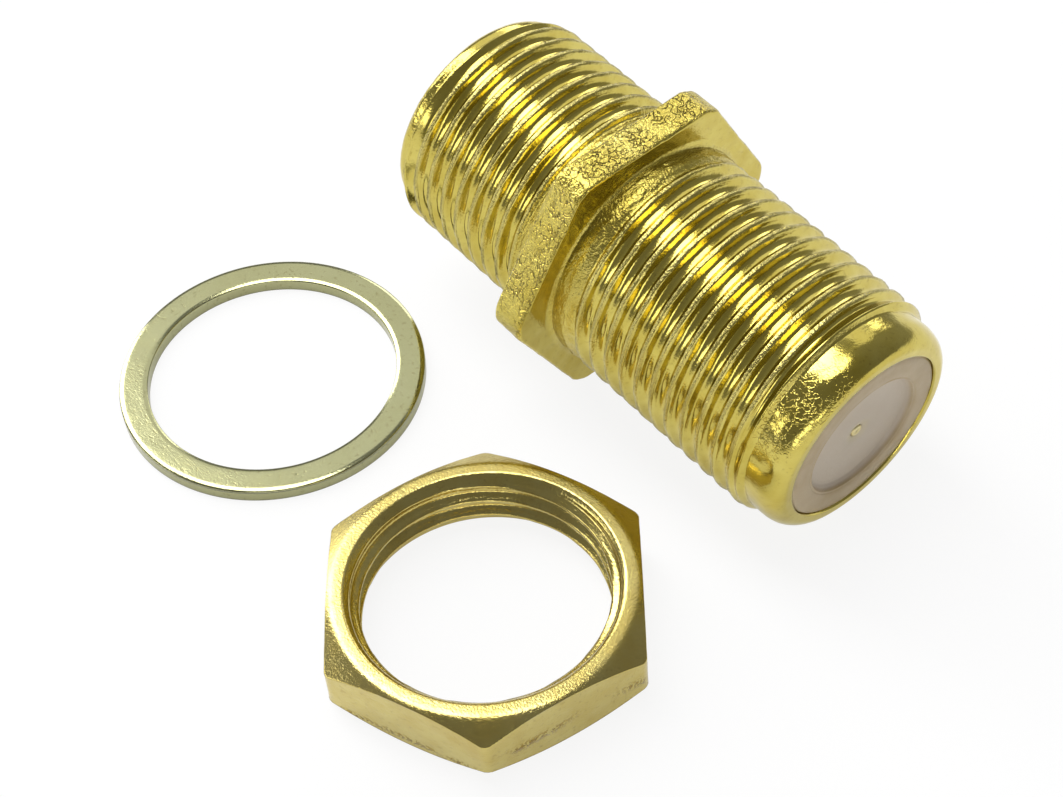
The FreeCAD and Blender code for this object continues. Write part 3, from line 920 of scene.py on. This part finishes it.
def pale_table():
    """Plain white for the camera and the metal, mixed with pale paper that takes the shadows."""
    material = bpy.data.materials.new("pale_table")
    material.use_nodes = True
    tree = material.node_tree
    tree.nodes.clear()
    paper = add_node(tree, "ShaderNodeBsdfDiffuse", {}, Color=(PAPER, PAPER, PAPER, 1.0))
    white = add_node(tree, "ShaderNodeEmission", {}, Color=WHITE, Strength=1.0)
    share = seen_white(tree, TABLE_SEEN, TABLE_IN_METAL)
    mixed = add_node(tree, "ShaderNodeMixShader", {}, i0=share, i1=paper.outputs[0], i2=white.outputs[0])
    out = tree.nodes.new("ShaderNodeOutputMaterial")
    tree.links.new(mixed.outputs[0], out.inputs["Surface"])
    return material


table_corners = np.array([(-1, -1, 0), (1, -1, 0), (1, 1, 0), (-1, 1, 0)], float) * TABLE_HALF * MM
table_mesh = bpy.data.meshes.new("table")
table_mesh.from_pydata(table_corners.tolist(), [], [(0, 1, 2, 3)])
table_mesh.materials.append(pale_table())
table = bpy.data.objects.new("table", table_mesh)
bpy.context.scene.collection.objects.link(table)

world = bpy.data.worlds.new("soft_surround")
bpy.context.scene.world = world
world.use_nodes = True
sky = world.node_tree
sky.nodes.clear()
path = add_node(sky, "ShaderNodeLightPath", {}).outputs
direction = add_node(sky, "ShaderNodeTexCoord", {}).outputs["Generated"]
rise = add_node(sky, "ShaderNodeSeparateXYZ", {}, Vector=direction).outputs["Z"]
away = add_node(sky, "ShaderNodeVectorMath", {"operation": "DOT_PRODUCT"}, i0=direction, i1=tuple(heading))
# In the metal the room is white up to the horizon, and dark from just above it.
overhead = range_of(sky, away.outputs["Value"], -0.3, 0.6, NEAR_ROOM_GLOW, FAR_ROOM_GLOW)
room = range_of(sky, rise, 0.0, HORIZON, 1.0, overhead)
metal_view = mix_of(sky, path["Is Camera Ray"], room, WHITE)
dim = add_node(sky, "ShaderNodeBackground", {}, Color=WHITE, Strength=SKY_GLOW).outputs[0]
seen = add_node(sky, "ShaderNodeBackground", {}, Color=metal_view, Strength=1.0).outputs[0]
both = add_node(sky, "ShaderNodeMixShader", {}, i0=seen_white(sky, 1.0, 1.0), i1=dim, i2=seen)
sky.links.new(both.outputs[0], sky.nodes.new("ShaderNodeOutputWorld").inputs["Surface"])


def soft_lamp(name, direction, distance, width, height, glow):
    """A flat soft lamp that faces the flange's middle. Its power is its glow times pi times its area."""
    lamp = bpy.data.lights.new(name, "AREA")
    lamp.shape = "RECTANGLE"
    lamp.size = width * MM
    lamp.size_y = height * MM
    lamp.energy = glow * math.pi * lamp.size * lamp.size_y
    holder = bpy.data.objects.new(name, lamp)
    towards = Vector(direction).normalized()
    holder.location = (Vector(flange_middle) + towards * distance) * MM
    holder.rotation_euler = (-towards).to_track_quat("-Z", "Y").to_euler()
    bpy.context.scene.collection.objects.link(holder)


CAMERA_PITCH = 0.86006
CAMERA_ROLL = 0.08751
CAMERA_DISTANCE = 85.754
FOCAL_PIXELS = 2205.13
IMAGE_WIDTH = 1063
SENSOR = 36.0
NEAREST = 0.001
# The spot on the table that the camera looks at, from the flange's middle along X and Y.
AIM_X = -0.483
AIM_Y = -5.007

look_at = np.array([AXIS_X + AIM_X, AXIS_Y + AIM_Y, 0.0])
forward = heading * math.cos(CAMERA_PITCH) - np.array([0, 0, 1.0]) * math.sin(CAMERA_PITCH)
level_right = np.array([heading[1], -heading[0], 0.0])
level_up = np.cross(level_right, forward)
camera_right = math.cos(CAMERA_ROLL) * level_right - math.sin(CAMERA_ROLL) * level_up
camera_up = math.sin(CAMERA_ROLL) * level_right + math.cos(CAMERA_ROLL) * level_up

camera_data = bpy.data.cameras.new("camera")
camera_data.sensor_fit = "HORIZONTAL"
camera_data.sensor_width = SENSOR
camera_data.lens = FOCAL_PIXELS / IMAGE_WIDTH * SENSOR
camera_data.clip_start = NEAREST
camera = bpy.data.objects.new("camera", camera_data)
stand = Matrix(np.column_stack([camera_right, camera_up, -forward]).tolist()).to_4x4()
stand.translation = Vector((look_at - forward * CAMERA_DISTANCE) * MM)
camera.matrix_world = stand
bpy.context.scene.collection.objects.link(camera)
bpy.context.scene.camera = camera

soft_lamp("key_lamp", direction=(-0.6, -0.045, 0.8), distance=400, width=172, height=760, glow=6.0)
soft_lamp("left_lamp", direction=(-0.52, -0.79, 0.31), distance=400, width=215, height=86, glow=3.4)
soft_lamp("right_lamp", direction=(-0.52, 0.75, 0.41), distance=400, width=190, height=110, glow=3.4)
soft_lamp("front_lamp", direction=(0.8, -0.6, 0.2), distance=400, width=340, height=70, glow=3.0)
soft_lamp("back_panel", direction=(-0.52, 0.46, 0.72), distance=440, width=360, height=200, glow=0.8)

bpy.context.scene.view_settings.view_transform = "Standard"
